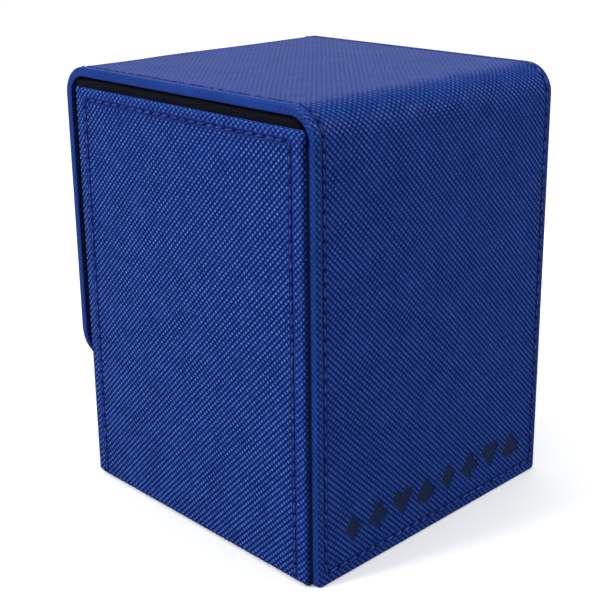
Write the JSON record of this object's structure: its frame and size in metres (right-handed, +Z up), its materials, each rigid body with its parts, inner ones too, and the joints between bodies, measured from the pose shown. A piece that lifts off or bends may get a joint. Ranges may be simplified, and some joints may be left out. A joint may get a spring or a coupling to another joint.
{
  "type": "card deck box",
  "caption": "Upright leatherette deck box: a lined card tray in a wrap-around cover with a folding lid and a magnetic front flap.",
  "frame": {"origin": "centre of the base on the table, under the middle of the closed box", "axes": "+Z up; the flap faces -Y, the back panel faces +Y; the leatherette side panels face +X and -X"},
  "size_m": [0.0814, 0.0848, 0.1041],
  "materials": {
    "cover_leatherette": "royal-blue crosshatch-embossed leatherette, satin",
    "tray_leatherette": "royal-blue crosshatch-embossed leatherette, satin",
    "microfibre": "black brushed microfibre, matt",
    "board": "black-dyed chipboard, matt",
    "hinge_backing": "thin flexible black backing paper, matt",
    "magnet": "nickel-plated disc",
    "thread": "twisted blue polyester thread"
  },
  "bodies": {
    "tray": {"tray_base_board": "board", "tray_left_board": "board", "tray_right_board": "board", "tray_front_board": "board", "tray_back_board": "board", "tray_magnets": "magnet", "base_lining": "microfibre", "left_lining": "microfibre", "right_lining": "microfibre", "front_lining": "microfibre", "back_lining": "microfibre", "front_facing": "tray_leatherette", "side_wrap": "tray_leatherette", "left_panel_board": "board", "right_panel_board": "board", "left_panel_thread": "thread", "right_panel_thread": "thread", "back_panel_skin": "cover_leatherette", "back_panel_board": "board", "back_thread": "thread", "rear_fold_skin": "cover_leatherette", "rear_fold_core": "hinge_backing", "rear_fold_lining": "microfibre"},
    "lid": {"lid_skin": "cover_leatherette", "lid_board": "board", "lid_lining": "microfibre", "lid_thread": "thread", "front_fold_skin": "cover_leatherette", "front_fold_core": "hinge_backing", "front_fold_lining": "microfibre"},
    "flap": {"flap_skin": "cover_leatherette", "flap_board": "board", "flap_lining": "microfibre", "flap_magnets": "magnet", "flap_thread": "thread"}
  },
  "joints": [
    {"name": "lid_hinge", "type": "hinge", "parent": "tray", "child": "lid", "pos_m": [0, 0.0408, 0.1025], "axis": [-1, 0, 0], "range_deg": [0, 175]},
    {"name": "flap_hinge", "type": "hinge", "parent": "lid", "child": "flap", "pos_m": [0, -0.0408, 0.1025], "axis": [-1, 0, 0], "range_deg": [0, 175]}
  ]
}
